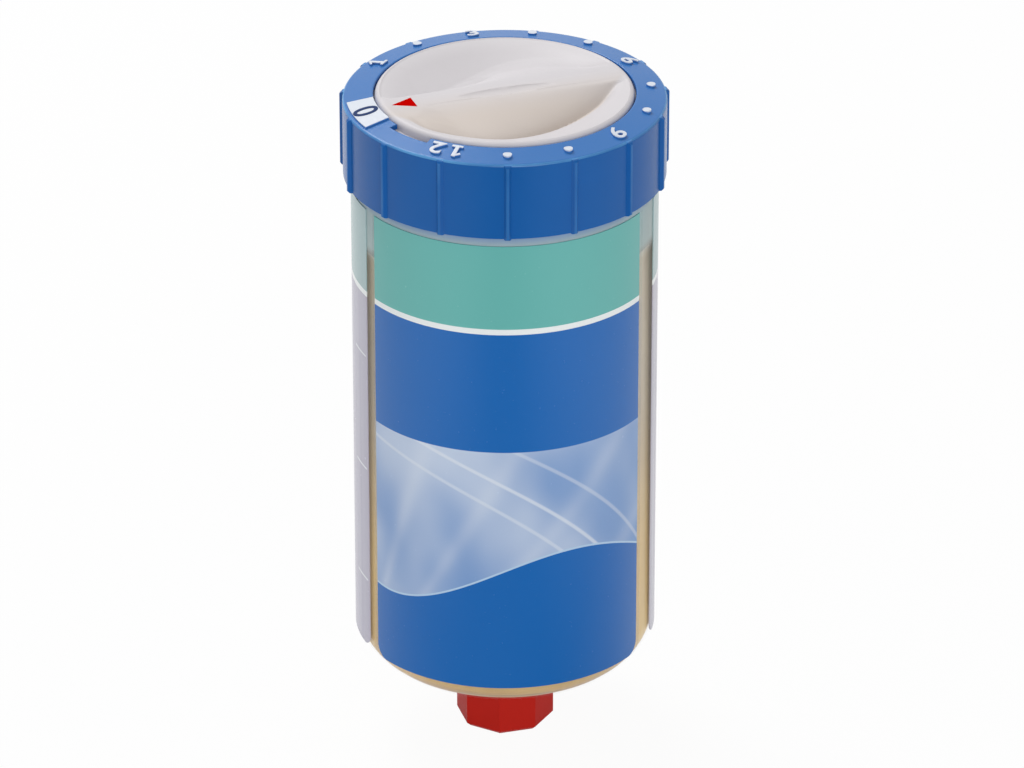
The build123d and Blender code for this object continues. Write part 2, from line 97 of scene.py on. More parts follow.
# ---- sizes of the dial: its face, its finger bar and its underside ----
DIAL_RADIUS = 21.5
DIAL_EDGE = 1.0
DISH_RADIUS = 20.0
DISH_DEPTH = 4.3
DISH_SPHERE = (DISH_RADIUS ** 2 + DISH_DEPTH ** 2) / (2 * DISH_DEPTH)
CREST_HALF_WIDTH = 2.7
CREST_DROP = 0.03
# where each flank of the bar meets the dish: place along the pointer line, reach across it
NEAR_FOOT = (
    (-20.5, 2.9), (-18.3, 3.5), (-14.7, 5.8), (-11.4, 7.8), (-8.0, 9.6), (-2.0, 12.2),
    (1.9, 13.4), (5.7, 14.2), (8.8, 13.4), (11.9, 11.6), (14.4, 10.0), (16.4, 8.4), (20.5, 3.0),
)
FAR_FOOT = (
    (-20.5, 3.2), (-15.0, 8.5), (-10.0, 12.4), (-4.0, 13.4), (2.0, 11.4), (10.0, 7.0),
    (16.0, 4.0), (20.5, 3.0),
)
GUTTER_DEPTH = 0.8
GUTTER_HALF_WIDTH = 2.4
HOLLOW_HALF_LENGTH = 8.4
HOLLOW_HALF_WIDTH = 1.35
HOLLOW_OFFSET = 0.6
HOLLOW_DEPTH = 0.4
FLANGE_Z = RING_INNER_Z - 1.3
FLANGE_RADIUS = 23.1
DIAL_UNDER_Z = 112.9
TRACK_OUTER = 17.8
TRACK_INNER = 14.0
TRACK_TOP_Z = 114.1
POCKET_MOUTH = 11.0
POCKET_RADIUS = 10.5
POCKET_TOP_Z = 116.0
STEM_RADIUS = 4.0
STEM_STEP_Z = 110.6
STEM_END_RADIUS = 2.6

# ---- camera and lamps, in metres ----
CAMERA_AT = (0, -1.0135, 0.5828)
CAMERA_AIM = (0.0012, 0, 0.0637)
CAMERA_LENS = 237.0
LAMP_AIM = (0, 0, 0.06)


def srgb(red, green, blue):
    """A colour written as 0-255 screen values, in the linear values that shaders use."""
    def linear(value):
        share = value / 255
        return share / 12.92 if share <= 0.04045 else ((share + 0.055) / 1.055) ** 2.4
    return (linear(red), linear(green), linear(blue), 1.0)


def lighter(colour, share):
    """A linear colour times a share, kept within white."""
    return tuple(min(1.0, c * share) for c in colour[:3]) + (1.0,)


# ---- shader maths written as expressions ----
class Value:
    """One shader value. Sums and products of values add their Math nodes."""

    def __init__(self, tree, socket):
        self.tree = tree
        self.socket = socket

    def __add__(self, other):
        return self.tree.maths("ADD", self, other)

    def __radd__(self, other):
        return self.tree.maths("ADD", other, self)

    def __sub__(self, other):
        return self.tree.maths("SUBTRACT", self, other)

    def __rsub__(self, other):
        return self.tree.maths("SUBTRACT", other, self)

    def __mul__(self, other):
        return self.tree.maths("MULTIPLY", self, other)

    def __rmul__(self, other):
        return self.tree.maths("MULTIPLY", other, self)

    def __truediv__(self, other):
        return self.tree.maths("DIVIDE", self, other)

    def __pow__(self, other):
        return self.tree.maths("POWER", self, other)


class Tree:
    """The nodes of a material or a world."""

    def __init__(self, owner):
        owner.use_nodes = True
        self.nodes = owner.node_tree.nodes
        self.links = owner.node_tree.links
        self.nodes.clear()

    def node(self, kind, settings, inputs, result=0):
        """Adds a node: its settings first, then its sockets; a result of None is all outputs."""
        made = self.nodes.new(kind)
        for key, value in settings.items():
            setattr(made, key, value)
        for key, value in inputs.items():
            if isinstance(value, Value):
                self.links.new(value.socket, made.inputs[key])
            else:
                made.inputs[key].default_value = value
        if result is None:
            return [Value(self, out) for out in made.outputs]
        return Value(self, made.outputs[result])

    def maths(self, operation, *values):
        """A Math node on its values, in their order."""
        return self.node("ShaderNodeMath", {"operation": operation}, dict(enumerate(values)))

    def clamped(self, value):
        """The value, kept between 0 and 1."""
        return self.node("ShaderNodeClamp", {}, {"Value": value})

    def step(self, value, low, high):
        """0 at low, 1 at high and smooth between them."""
        return self.node(
            "ShaderNodeMapRange", {"interpolation_type": "SMOOTHSTEP"},
            {"Value": value, "From Min": low, "From Max": high},
        )

    def band(self, value, middle, half, soft):
        """1 within half of the middle, falling to 0 over the soft width on each side."""
        distance = self.maths("ABSOLUTE", value - middle)
        return 1 - self.step(distance, half, half + soft)

    def mix(self, factor, first, second):
        """The first colour at 0 and the second at 1."""
        return self.node(
            "ShaderNodeMix", {"data_type": "RGBA"}, {0: factor, 6: first, 7: second}, result=2,
        )

    def place(self):
        """The point on the piece as a vector, and its x, y and z in metres."""
        point = self.node("ShaderNodeTexCoord", {}, {}, result="Object")
        return point, self.node("ShaderNodeSeparateXYZ", {}, {0: point}, result=None)

    def radius(self, x, y):
        """Distance from the product's axis."""
        return (x * x + y * y) ** 0.5

    def noise(self, point, scale, detail=2.0, roughness=0.5):
        """Soft random values from 0 to 1, this many to the metre."""
        return self.node(
            "ShaderNodeTexNoise", {},
            {"Vector": point, "Scale": scale, "Detail": detail, "Roughness": roughness},
            result="Fac",
        )

    def stretched(self, point, along_x, along_y, along_z):
        """The point with its own scale along each axis, for patterns with a grain."""
        return self.node(
            "ShaderNodeMapping", {}, {"Vector": point, "Scale": (along_x, along_y, along_z)},
        )


class Shader(Tree):
    """A material built round one Principled surface."""

    def __init__(self, name):
        self.material = bpy.data.materials.new(name)
        super().__init__(self.material)

    def bump(self, height, distance, strength=1.0):
        """A normal that follows small heights."""
        return self.node(
            "ShaderNodeBump", {}, {"Height": height, "Distance": distance, "Strength": strength},
        )

    def paint(self, sockets):
        """Makes the surface from its sockets, and gives the finished material."""
        surface = self.node("ShaderNodeBsdfPrincipled", {}, sockets)
        self.node("ShaderNodeOutputMaterial", {}, {"Surface": surface}, result=None)
        return self.material


# ---- finishes ----
def moulded(name, colour, roughness, specular=0.5, grain=7000, depth=0.00003):
    """Moulded plastic: fine grain, faint colour drift and a polish that varies a little."""
    shader = Shader(name)
    point, _ = shader.place()
    drift = shader.noise(point, 60, 3)
    return shader.paint({
        "Base Color": shader.mix(drift, lighter(colour, 0.94), lighter(colour, 1.06)),
        "Roughness": drift * 0.12 + (roughness - 0.06),
        "Specular IOR Level": specular,
        "Normal": shader.bump(shader.noise(point, grain, 2), depth, 0.5),
    })


def metal(name, colour, roughness):
    """Plated metal with fine drawn scratches."""
    shader = Shader(name)
    point, _ = shader.place()
    lines = shader.noise(shader.stretched(point, 40, 40, 4000), 1, 3)
    return shader.paint({
        "Base Color": shader.mix(lines, lighter(colour, 0.85), colour),
        "Metallic": 1.0,
        "Roughness": lines * 0.2 + roughness,
        "Normal": shader.bump(lines, 0.00001, 0.4),
    })


def ring_plastic():
    """Blue moulding, with a painted sheen on its top face, painted highlights on its rim and rib
    crests, and marks tipped in white.
    """
    shader = Shader("ring_plastic")
    point, (x, y, z) = shader.place()
    radius = shader.radius(x, y)
    blue = srgb(4, 94, 172)
    drift = shader.noise(point, 70, 3)
    colour = shader.mix(drift, lighter(blue, 0.92), lighter(blue, 1.08))
    # painted sheen: the top face is paler, standing in for light falling from above
    slope_z = RING_INNER_Z * MM - (radius - RING_BORE * MM) * RING_SLOPE
    height = z - slope_z
    top_sheen = shader.step(height, -0.25 * MM, -0.05 * MM)
    colour = shader.mix(top_sheen * 0.8, colour, srgb(72, 132, 203))
    # painted highlights along the rim round the top and on the crests of the ribs, broken into
    # patches by noise
    rim_highlight = shader.band(radius, (PANEL_RADIUS - 0.14) * MM, 0.1 * MM, 0.08 * MM)
    rim_highlight = rim_highlight * shader.step(z, (RING_OUTER_Z - 0.38) * MM, (RING_OUTER_Z - 0.26) * MM)
    rib_crest_highlight = shader.step(radius, (RIB_RADIUS - 0.16) * MM, (RIB_RADIUS - 0.02) * MM)
    highlight_patches = shader.step(shader.noise(point, 90, 3), 0.35, 0.65)
    colour = shader.mix((rim_highlight * 0.9 + rib_crest_highlight * 0.2) * (0.4 + highlight_patches * 0.6), colour, srgb(98, 168, 226))
    # white on the raised marks only
    tip = shader.step(height, (MARK_RISE - 0.16) * MM, (MARK_RISE - 0.06) * MM)
    return shader.paint({
        "Base Color": shader.mix(tip, colour, srgb(232, 238, 248)),
        "Roughness": 0.2 + drift * 0.1,
        "Specular IOR Level": 0.26,
        "Normal": shader.bump(shader.noise(point, 6000, 2), 0.00003, 0.5),
    })


def dial_plastic():
    """Pale moulding, with a painted warm shade on the near side of its bar, and faint handling
    marks.
    """
    shader = Shader("dial_plastic")
    point, (x, y, z) = shader.place()
    turn = radians(ZERO_ANGLE)
    along = (x * cos(turn) + y * sin(turn)) / MM
    across = (x * -sin(turn) + y * cos(turn)) / MM
    # near foot of the bar, as two half parabolas that meet at its widest place
    widest_at, widest, ahead_length, behind_length = 5.0, 14.2, 18.0, 26.0
    ahead = shader.maths("MAXIMUM", along - widest_at, 0.0) / ahead_length
    behind = shader.maths("MAXIMUM", widest_at - along, 0.0) / behind_length
    foot = (1.0 - ahead * ahead - behind * behind) * widest
    drift = shader.noise(point, 45, 3)
    pale = shader.mix(drift, srgb(220, 216, 219), srgb(228, 224, 227))
    # painted shade: the near side of the bar is warmer and darker, standing in for warm bounce
    # light and shade on its flank
    warm_shade = shader.mix(drift, srgb(217, 206, 197), srgb(225, 214, 206))
    near_side_shade = shader.step(across, -3.0, 8.0) * (1.0 - shader.step(across - foot, -0.4, 1.2))
    colour = shader.mix(near_side_shade, pale, warm_shade)
    smudge = shader.step(shader.noise(shader.stretched(point, 90, 260, 90), 1, 4), 0.55, 0.8)
    return shader.paint({
        "Base Color": shader.mix(smudge * 0.12, colour, srgb(188, 180, 174)),
        "Roughness": 0.4 + drift * 0.12,
        "Specular IOR Level": 0.25,
        "Normal": shader.bump(shader.noise(point, 5000, 2), 0.00003, 0.6),
    })


def clear_plastic():
    """Clear moulding: seen through, with faint flow streaks, painted light above the grease, and a
    painted reflection of the ring's blue under its skirt.
    """
    shader = Shader("clear_plastic")
    point, (_, _, z) = shader.place()
    flow = shader.noise(shader.stretched(point, 160, 160, 18), 1, 3)
    # painted light: above the grease the wall turns pale and more opaque, lightening what lies in
    # shade behind it
    haze = shader.step(z, grease_high.z - 4.2 * MM, grease_high.z - 1.0 * MM)
    clear = shader.mix(flow, srgb(226, 230, 232), srgb(244, 246, 248))
    # the outlet and its thread hold the light more than the thin wall does
    outlet = shader.step(z, BASE_Z * MM, SEAT_UNDER_Z * MM)
    clear = shader.mix(outlet, clear, shader.mix(flow, srgb(176, 190, 198), srgb(204, 214, 220)))
    clear = shader.mix(haze, clear, srgb(214, 238, 240))
    # the wall is clearest where it curves under the body
    under = shader.step(z, (BASE_Z + UNDERSIDE_RISE) * MM, (BASE_Z + 2.0) * MM)
    # painted reflection of the ring's blue in the wall just under its skirt
    painted_ring_reflection = shader.step(z, label_high.z - 0.4 * MM, label_high.z + 1.6 * MM)
    return shader.paint({
        "Base Color": shader.mix(painted_ring_reflection * 0.6, clear, srgb(90, 142, 226)),
        "Roughness": 0.06 + flow * 0.06,
        "Specular IOR Level": 0.3,
        "Alpha": 0.1 + haze * 0.52 - under * 0.06 + outlet * 0.5,
        "Normal": shader.bump(flow, 0.0001, 0.2),
    })


def soft_grease():
    """Amber grease against the wall: slow swirls, small voids, darker streaks at the base, and a
    faint painted glow.
    """
    shader = Shader("soft_grease")
    point, (_, _, z) = shader.place()
    swirl = shader.noise(shader.stretched(point, 60, 60, 22), 1, 4, 0.6)
    swirled = shader.step(swirl, 0.3, 0.7)
    voids = shader.noise(point, 1100, 2)
    rich = shader.mix(swirled, srgb(206, 172, 108), srgb(230, 198, 130))
    dull = shader.mix(swirled, srgb(184, 172, 152), srgb(204, 190, 162))
    amber = shader.mix(shader.step(z, 30 * MM, 75 * MM), rich, dull)
    # the lowest part curves away under the body and is streaked with brown
    under = shader.step(z, (BASE_Z + UNDERSIDE_RISE) * MM, (BASE_Z + 1.5) * MM)
    streak = shader.noise(shader.stretched(point, 30, 30, 900), 1, 3, 0.6)
    brown = shader.mix(shader.step(streak, 0.35, 0.65), srgb(128, 86, 52), srgb(188, 150, 94))
    colour = shader.mix(under * 0.9, amber, brown)
    return shader.paint({
        "Base Color": colour,
        "Roughness": 0.22 + swirl * 0.15,
        "Specular IOR Level": 0.35,
        # painted light: the grease glows faintly in its own colour, lightening it where it lies in
        # shade behind the wall
        "Emission Color": colour,
        "Emission Strength": 0.12,
        "Normal": shader.bump(swirl * 0.7 + voids * 0.3, 0.0003, 0.4),
    })


PRINT_SOFT = 0.05 * MM
PRINT_HALF_WIDTH = 26.1 * MM
PRINT_MIDDLE = 0.67 * MM
PRINT_CORNER = 2.5 * MM
LABEL_LINE_LOW = label_low.z + 66.6 * MM
LABEL_LINE_HIGH = LABEL_LINE_LOW + 1.0 * MM
PANEL_TOP = label_low.z + 44.8 * MM
WAVE_FOOT = label_low.z + 19.6 * MM
FILL_MARKS = (31.9, 53.2, 74.5)


def front_print(shader, point, along, z):
    """A pale picture panel of beams and fine arcs, between blue fields."""
    blue = srgb(0, 106, 190)
    cloud = shader.noise(shader.stretched(point, 45, 45, 30), 1, 2)
    haze = shader.mix(shader.step(cloud, 0.3, 0.72), srgb(124, 162, 216), srgb(204, 219, 242))
    # wide soft beams, fanned from a point below the panel
    fan_x = along + 34 * MM
    fan_z = z - (label_low.z - 20 * MM)
    fan = shader.maths("ARCTAN2", fan_z, fan_x)
    beam = shader.maths("SINE", fan * 31.0) * 0.5 + 0.5
    glow = beam ** 6.0 * shader.step(cloud, 0.2, 0.6)
    haze = shader.mix(glow * 0.35, haze, srgb(222, 232, 248))
    # three fine arcs across them
    reach = (fan_x * fan_x + fan_z * fan_z) ** 0.5
    for place, strength in ((63, 0.5), (67.5, 0.7), (74, 0.4)):
        arc_line = shader.band(reach, place * MM, 0.12 * MM, 0.35 * MM)
        haze = shader.mix(arc_line * strength, haze, srgb(232, 240, 252))
    # the blue field below has a gently waved edge with a thin pale line
    wave = shader.maths("SINE", along * 90.0 + 0.5) * (5.6 * MM)
    edge = z - WAVE_FOOT - wave
    picture = shader.mix(shader.band(edge, 0, 0.25 * MM, 0.2 * MM), haze, srgb(190, 220, 246))
    lower = shader.mix(shader.step(edge, -PRINT_SOFT, PRINT_SOFT), blue, picture)
    return shader.mix(shader.step(z, PANEL_TOP - PRINT_SOFT, PANEL_TOP + PRINT_SOFT), lower, blue)


def back_print(shader, point, along, z):
    """A greyed film with painted reflection streaks running upright, and short fill marks."""
    cloud = shader.noise(shader.stretched(point, 30, 30, 12), 1, 2)
    colour = shader.mix(cloud, srgb(182, 178, 200), srgb(204, 202, 214))
    # painted reflection: light and dark upright streaks stand in for the surroundings mirrored in
    # the film at its grazing edge
    reflection_streaks = shader.noise(shader.stretched(point, 420, 420, 2.5), 1, 3)
    colour = shader.mix(shader.step(reflection_streaks, 0.5, 0.66) * 0.4, colour, srgb(226, 226, 234))
    colour = shader.mix(shader.step(reflection_streaks, 0.44, 0.3) * 0.3, colour, srgb(160, 158, 186))
    # fill marks, short pale lines beside the gap between the labels
    beside_gap = shader.band(along, -31.4 * MM, 2.4 * MM, 0.3 * MM)
    for mark_z in FILL_MARKS:
        fill_mark = shader.band(z, mark_z * MM, 0.1 * MM, 0.14 * MM) * beside_gap
        colour = shader.mix(fill_mark * 0.8, colour, srgb(240, 244, 248))
    return colour


def label_film(name, printed, band_colour, clear_border):
    """A printed film under a satin varnish: its print, a white line and a band above it."""
    shader = Shader(name)
    point, (x, y, z) = shader.place()
    along = shader.maths("ARCTAN2", x, 0 - y) * (WALL_RADIUS * MM)
    colour = printed(shader, point, along, z)
    line_foot = shader.step(z, LABEL_LINE_LOW - PRINT_SOFT, LABEL_LINE_LOW + PRINT_SOFT)
    colour = shader.mix(line_foot, colour, srgb(250, 255, 255))
    line_top = shader.step(z, LABEL_LINE_HIGH - PRINT_SOFT, LABEL_LINE_HIGH + PRINT_SOFT)
    colour = shader.mix(line_top, colour, band_colour)
    cover = 1.0
    if clear_border:
        # the film is clear outside its print, whose lower corners are rounded
        beyond_side = shader.maths("ABSOLUTE", along - PRINT_MIDDLE)
        beyond_side = beyond_side - (PRINT_HALF_WIDTH - PRINT_CORNER)
        beyond_side = shader.maths("MAXIMUM", beyond_side, 0.0)
        below_foot = shader.maths("MAXIMUM", (label_low.z + PRINT_CORNER) - z, 0.0)
        outside = (beyond_side * beyond_side + below_foot * below_foot) ** 0.5 - PRINT_CORNER
        cover = 1.0 - shader.step(outside, -PRINT_SOFT, PRINT_SOFT) * 0.95
    film = shader.noise(point, 1500, 2)
    return shader.paint({
        "Base Color": colour,
        "Roughness": 0.2 + film * 0.1,
        "Specular IOR Level": 0.5,
        "Alpha": cover,
        "Normal": shader.bump(film, 0.00003, 0.3),
    })


def board_finish():
    """Coated board with copper tracks under the green."""
    shader = Shader("board_coat")
    point, (x, y, _) = shader.place()
    turn = shader.maths("ARCTAN2", y, x)
    rings = shader.band(shader.radius(x, y), 16.6 * MM, 1.7 * MM, 0.1 * MM)
    spokes = shader.step(shader.maths("SINE", turn * 15.0), 0.55, 0.7)
    weave = shader.noise(shader.stretched(point, 2500, 2500, 2500), 1, 2)
    green = shader.mix(weave, srgb(20, 82, 48), srgb(30, 102, 60))
    return shader.paint({
        "Base Color": shader.mix(rings * spokes, green, srgb(188, 142, 84)),
        "Roughness": 0.3 + weave * 0.1,
    })


clear_wall = clear_plastic()
ring_blue = ring_plastic()
dial_cream = dial_plastic()
pointer_red = moulded("pointer_red", srgb(206, 4, 0), 0.6, specular=0.0)
closure_red = moulded("closure_red", srgb(206, 44, 36), 0.42, specular=0.04)
seal_black = moulded("seal_black", srgb(34, 34, 35), 0.5)
piston_grey = moulded("piston_grey", srgb(182, 194, 192), 0.4)
carrier_grey = moulded("carrier_grey", srgb(186, 190, 192), 0.45)
chip_black = moulded("chip_black", srgb(34, 34, 36), 0.5)
membrane_white = moulded("membrane_white", srgb(236, 236, 232), 0.8, grain=3000, depth=0.0001)
numeral_blue = moulded("numeral_blue", srgb(16, 50, 104), 0.5, specular=0.1)
cell_steel = metal("cell_steel", srgb(200, 200, 198), 0.22)
contact_metal = metal("contact_metal", srgb(206, 196, 168), 0.25)

finishes = {
    "container": clear_wall,
    "top_ring": ring_blue,
    "setting_dial": dial_cream,
    "pointer_inlay": pointer_red,
    "closure_cap": closure_red,
    "closure_seal": seal_black,
    "container_seal": seal_black,
    "dial_seal": seal_black,
    "piston_seal": seal_black,
    "grease_charge": soft_grease(),
    "piston": piston_grey,
    "cell_carrier": carrier_grey,
    "bearing_deck": carrier_grey,
    "gas_cell_left": cell_steel,
    "gas_cell_right": cell_steel,
    "contact_strip": contact_metal,
    "cell_contacts": contact_metal,
    "click_spring": contact_metal,
    "wiper_contact": contact_metal,
    "circuit_board": board_finish(),
    "resistors": chip_black,
    "gas_membrane": membrane_white,
    "label_front": label_film("front_film", front_print, srgb(106, 190, 184), True),
    "label_back": label_film("back_film", back_print, srgb(168, 196, 198), False),
}
for node, finish in finishes.items():
    mesh = frame["nodes"][node].data
    mesh.materials.clear()
    mesh.materials.append(finish)


# ---- modelling by hand ----
def start(add, name, **settings):
    """Adds a primitive with nothing else selected."""
    bpy.ops.object.select_all(action="DESELECT")
    add(**settings)
    piece = bpy.context.object
    piece.name = name
    return piece


def set_place():
    """Moves the place, turn and scale of what is selected into its mesh."""
    bpy.ops.object.transform_apply(location=True, rotation=True, scale=True)


def turned(name, profile, steps):
    """A turned piece: one point is drawn along its profile, and the line is spun."""
    piece = start(bpy.ops.mesh.primitive_plane_add, name, size=MM)
    bpy.ops.object.mode_set(mode="EDIT")
    bpy.ops.mesh.merge(type="CENTER")
    places = [Vector((radius, 0, z)) * MM for radius, z in profile]
    bpy.ops.transform.translate(value=places[0])
    for here, there in zip(places, places[1:]):
        bpy.ops.mesh.extrude_region_move(TRANSFORM_OT_translate={"value": there - here})
    bpy.ops.mesh.select_all(action="SELECT")
    bpy.ops.mesh.spin(steps=steps, angle=2 * pi, center=(0, 0, 0), axis=(0, 0, 1))
    bpy.ops.mesh.select_all(action="SELECT")
    bpy.ops.mesh.remove_doubles(threshold=0.002 * MM)
    bpy.ops.mesh.normals_make_consistent(inside=False)
    bpy.ops.object.mode_set(mode="OBJECT")
    bpy.ops.object.shade_smooth_by_angle(angle=radians(35))
    return piece


def arc(centre_radius, centre_z, size, start_angle, end_angle, count):
    """Points of a profile's arc, from one angle to another."""
    points = []
    for index in range(count + 1):
        angle = radians(start_angle + (end_angle - start_angle) * index / count)
        points.append((centre_radius + size * cos(angle), centre_z + size * sin(angle)))
    return points


def settle(piece, body, finish):
    """Gives a piece its finish and body once its shape is final."""
    piece.data.materials.clear()
    piece.data.materials.append(finish)
    if body:
        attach(piece, body)
    return piece


# ---- grease column: reaches the wall's outer face, where the clear wall shows it ----
grease_top_z = grease_high.z / MM
grease_end_z = grease_low.z / MM
straight_z = BASE_Z + BASE_ROUND
foot_radius = WALL_RADIUS - FILM_GAP
crown_z = grease_top_z - PISTON_CORNER
grease_profile = [(0, crown_z)]
grease_profile += arc(PISTON_CORNER_AT, grease_top_z, PISTON_CORNER, -90, -33, 6)
grease_profile += [(foot_radius - RIM_INSET, grease_top_z - FILL_DROP), (foot_radius, straight_z)]
grease_profile += arc(
    WALL_RADIUS - BASE_ROUND, straight_z, BASE_ROUND - FILM_GAP, 0, -90, 10,
)[1:]
grease_profile += [(OUTLET_BORE, BASE_Z + FILM_GAP), (OUTLET_BORE, grease_end_z), (0, grease_end_z)]
grease_column = turned("grease_column", grease_profile, 144)
settle(grease_column, None, finishes["grease_charge"])
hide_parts("grease_charge")
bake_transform(grease_column)


# ---- setting dial: dished face and finger bar with softly run-out edges ----
def run(value, low, high):
    """0 at low and 1 at high, smooth between them."""
    share = min(1.0, max(0.0, (value - low) / (high - low)))
    return share * share * (3 - 2 * share)


def reach_at(feet, along):
    """Reach of a flank at a place along the pointer line, on a smooth curve."""
    along = min(max(along, feet[0][0]), feet[-1][0])
    index = max(i for i in range(len(feet) - 1) if feet[i][0] <= along)
    slopes = []
    for i in (index, index + 1):
        before = feet[max(i - 1, 0)]
        after = feet[min(i + 1, len(feet) - 1)]
        slopes.append((after[1] - before[1]) / (after[0] - before[0]))
    (start_u, start_v), (end_u, end_v) = feet[index], feet[index + 1]
    span = end_u - start_u
    t = (along - start_u) / span
    return (
        (2 * t ** 3 - 3 * t ** 2 + 1) * start_v + (t ** 3 - 2 * t ** 2 + t) * span * slopes[0]
        + (3 * t ** 2 - 2 * t ** 3) * end_v + (t ** 3 - t ** 2) * span * slopes[1]
    )


def softer(first, second, width, sign):
    """The larger (sign 1) or smaller (sign -1) of two heights, rounded over a width."""
    share = min(1.0, max(0.0, 0.5 + 0.5 * sign * (first - second) / width))
    return second + (first - second) * share + sign * width * share * (1 - share)


def dish_height(reach):
    """Height of the plain dish at a distance from the axis: 0 at its edge, less inside."""
    return DISH_SPHERE - DISH_DEPTH - sqrt(DISH_SPHERE ** 2 - reach ** 2)


def near_flank(side, foot, drop):
    """Height of the near flank, which bulges from the crest and steepens to its foot."""
    if side >= foot:
        return -drop - (side - foot) * 2.5
    bend = foot - 0.5
    a = CREST_HALF_WIDTH - 2 * bend + foot
    b = 2 * (bend - CREST_HALF_WIDTH)
    c = CREST_HALF_WIDTH - side
    t = -c / b if abs(a) < 1e-6 else (-b + sqrt(max(b * b - 4 * a * c, 0))) / (2 * a)
    return -drop * t


def far_flank(side, foot, drop, along):
    """Height of the far flank, which falls evenly and runs on softly under the dish."""
    share = (side - CREST_HALF_WIDTH) / (foot - CREST_HALF_WIDTH)
    past = max(side - foot, 0.0)
    even = 0.15 + 0.3 * run(along, 2, 10)
    curve = (1 - even) * run(side, CREST_HALF_WIDTH, foot) + even * share
    return -drop * curve - past * past


def dial_height(along, across):
    """Height of the dial's face over its rim, in millimetres: 0 or less."""
    reach = hypot(along, across)
    side = abs(across)
    near = across > 0
    foot = reach_at(NEAR_FOOT if near else FAR_FOOT, along)
    face = softer(dish_height(reach), 0.0, 1.1, -1)
    drop = -dish_height(min(hypot(along, foot), DISH_RADIUS)) + 0.35
    if near:
        # the dish is deeper along the bar's near foot
        deeper = GUTTER_DEPTH * run(along, -19, -14) * (1 - run(reach, 18.4, 20.2))
        beside = 1 - ((across - foot) / GUTTER_HALF_WIDTH) ** 2
        face -= deeper * max(beside, 0.0) ** 2
        drop += deeper
        rounding = 0.35
        shoulder = CREST_HALF_WIDTH - 1
        join = 0.25 + 2.6 * run(along, 8, 15)
    else:
        rounding = 0.2
        shoulder = CREST_HALF_WIDTH - 1.5
        join = 0.9
    flank = 0.0
    if side > CREST_HALF_WIDTH:
        flank = near_flank(side, foot, drop) if near else far_flank(side, foot, drop, along)
    bar = softer(flank, 0.0, rounding, -1) if side > shoulder else 0.0
    height = softer(face, min(bar, 0.0) - CREST_DROP, join, 1)
    if near:
        # the dish stops short of the pointer's end on this side
        height *= 1 - 0.9 * run(along, 16.5, 19.5)
    height = min(height, -CREST_DROP if reach < DISH_RADIUS - 0.2 else 0.0)
    # a shallow hollow for the finger in the bar's crest
    across_hollow = (across - HOLLOW_OFFSET) / HOLLOW_HALF_WIDTH
    hollow = 1 - (along / HOLLOW_HALF_LENGTH) ** 2 - across_hollow ** 2
    return height - HOLLOW_DEPTH * max(hollow, 0.0) ** 0.6


rim_z = dial_high.z / MM
stem_end_z = dial_low.z / MM
dial_profile = [(0.3 * index, rim_z) for index in range(68)]
dial_profile += [(DISH_RADIUS + 0.3, rim_z)]
dial_profile += arc(DIAL_RADIUS - DIAL_EDGE, rim_z - DIAL_EDGE, DIAL_EDGE, 90, 0, 7)
dial_profile += [
    (DIAL_RADIUS, FLANGE_Z), (FLANGE_RADIUS, FLANGE_Z), (FLANGE_RADIUS, DIAL_UNDER_Z),
    (TRACK_OUTER, DIAL_UNDER_Z), (TRACK_OUTER, TRACK_TOP_Z),
    (TRACK_INNER, TRACK_TOP_Z), (TRACK_INNER, DIAL_UNDER_Z),
    (POCKET_MOUTH, DIAL_UNDER_Z), (POCKET_RADIUS, POCKET_TOP_Z),
    (STEM_RADIUS, POCKET_TOP_Z), (STEM_RADIUS, STEM_STEP_Z),
    (STEM_END_RADIUS, STEM_STEP_Z), (STEM_END_RADIUS, stem_end_z), (0, stem_end_z),
]
dial_knob = turned("dial_knob", dial_profile, 360)
pointer_turn = radians(ZERO_ANGLE)
for vertex in dial_knob.data.vertices:
    x, y, z = vertex.co / MM
    if z > rim_z - 0.001 and hypot(x, y) < DIAL_RADIUS - 0.9:
        along = x * cos(pointer_turn) + y * sin(pointer_turn)
        across = y * cos(pointer_turn) - x * sin(pointer_turn)
        vertex.co.z = (rim_z + dial_height(along, across)) * MM
dial_knob.data.update()
bpy.ops.object.shade_smooth_by_angle(angle=radians(50))
settle(dial_knob, "dial", dial_cream)
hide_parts("setting_dial")

# ---- outlet thread: one ridge wound round the spigot ----
ridge_middle = THREAD_RADIUS - RIDGE_DEPTH / 2
thread_ridge = start(
    bpy.ops.mesh.primitive_plane_add, "thread_ridge", size=RIDGE_DEPTH * MM,
    location=(ridge_middle * MM, 0, outlet_end + 0.2 * MM), rotation=(pi / 2, 0, 0),
)
set_place()
# the section is wide at its foot, and narrow at its crest
bpy.ops.object.mode_set(mode="EDIT")
bpy.ops.mesh.select_mode(type="VERT")
bpy.ops.mesh.select_all(action="SELECT")
bpy.ops.transform.resize(value=(1, 1, RIDGE_FOOT))
bpy.ops.mesh.select_all(action="DESELECT")
bpy.ops.object.mode_set(mode="OBJECT")
for vertex in thread_ridge.data.vertices:
    vertex.select = vertex.co.x > ridge_middle * MM
bpy.ops.object.mode_set(mode="EDIT")
bpy.ops.transform.resize(value=(1, 1, RIDGE_CREST_SHARE))
bpy.ops.object.mode_set(mode="OBJECT")
winding = thread_ridge.modifiers.new("winding", "SCREW")
winding.axis = "Z"
winding.angle = 2 * pi
winding.screw_offset = THREAD_PITCH * MM
winding.iterations = RIDGE_TURNS
winding.steps = RIDGE_STEPS
winding.render_steps = RIDGE_STEPS
winding.use_merge_vertices = False
bpy.ops.object.modifier_apply(modifier="winding")
bpy.ops.object.mode_set(mode="EDIT")
for cut_z, up in ((outlet_end + 0.55 * MM, -1), ((SEAT_UNDER_Z - 0.02) * MM, 1)):
    bpy.ops.mesh.select_all(action="SELECT")
    bpy.ops.mesh.bisect(
        plane_co=(0, 0, cut_z), plane_no=(0, 0, up), clear_outer=True, use_fill=True,
    )
